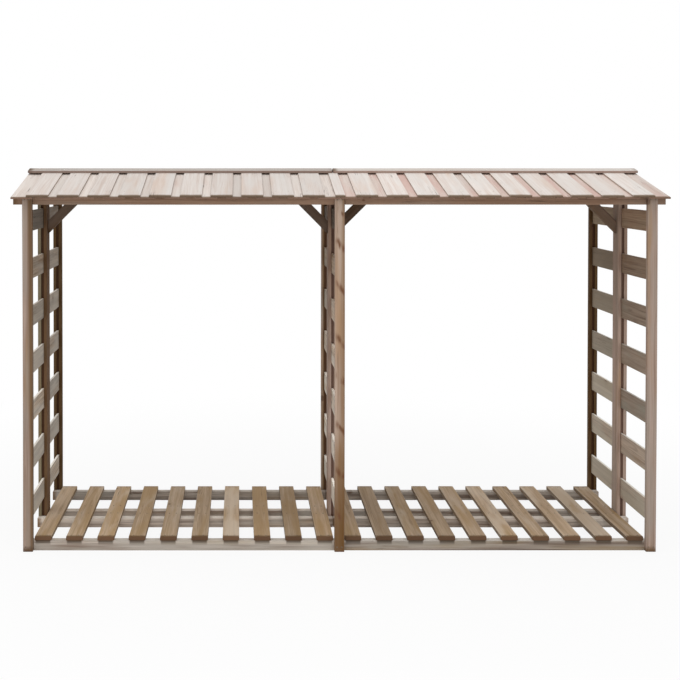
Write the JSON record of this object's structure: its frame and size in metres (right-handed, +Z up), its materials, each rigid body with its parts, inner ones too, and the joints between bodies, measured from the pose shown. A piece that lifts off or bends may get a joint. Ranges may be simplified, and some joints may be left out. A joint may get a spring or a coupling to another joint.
{
  "type": "log store",
  "caption": "Open timber log store: twin bays with slatted ends, divider and floor, under a low gable roof of lapped boards; keeps stacked firewood dry and aired.",
  "frame": {"origin": "centre of the footprint at ground level", "axes": "+X along the length to the right as seen from the front, +Y from front to back, +Z up"},
  "size_m": [2.982, 1.1164, 1.7546],
  "materials": {
    "posts": "matte",
    "wall_slats": "matte",
    "bearers": "matte",
    "floor_slats": "matte",
    "roof_beams": "matte",
    "roof_under_boards": "matte",
    "roof_over_boards": "matte",
    "ridge_cap": "matte"
  },
  "bodies": {
    "root": {"left_front_post": "posts", "left_back_post": "posts", "left_ridge_post": "posts", "middle_front_post": "posts", "middle_back_post": "posts", "middle_ridge_post": "posts", "right_front_post": "posts", "right_back_post": "posts", "right_ridge_post": "posts", "left_wall_slats": "wall_slats", "divider_slats": "wall_slats", "right_wall_slats": "wall_slats", "front_bearer_left": "bearers", "front_inner_bearer_left": "bearers", "front_eave_beam_left": "roof_beams", "front_roof_under_boards_left": "roof_under_boards", "front_roof_over_boards_left": "roof_over_boards", "back_bearer_left": "bearers", "back_inner_bearer_left": "bearers", "back_eave_beam_left": "roof_beams", "back_roof_under_boards_left": "roof_under_boards", "back_roof_over_boards_left": "roof_over_boards", "left_floor_slats": "floor_slats", "ridge_beam_left": "roof_beams", "front_bearer_right": "bearers", "front_inner_bearer_right": "bearers", "front_eave_beam_right": "roof_beams", "front_roof_under_boards_right": "roof_under_boards", "front_roof_over_boards_right": "roof_over_boards", "back_bearer_right": "bearers", "back_inner_bearer_right": "bearers", "back_eave_beam_right": "roof_beams", "back_roof_under_boards_right": "roof_under_boards", "back_roof_over_boards_right": "roof_over_boards", "right_floor_slats": "floor_slats", "ridge_beam_right": "roof_beams", "left_brace": "roof_beams", "divider_left_brace": "roof_beams", "divider_right_brace": "roof_beams", "right_brace": "roof_beams", "front_roof_joint_batten": "roof_over_boards", "front_ridge_cap": "ridge_cap", "front_ridge_strip": "roof_beams", "back_roof_joint_batten": "roof_over_boards", "back_ridge_cap": "ridge_cap", "back_ridge_strip": "roof_beams"}
  },
  "joints": []
}
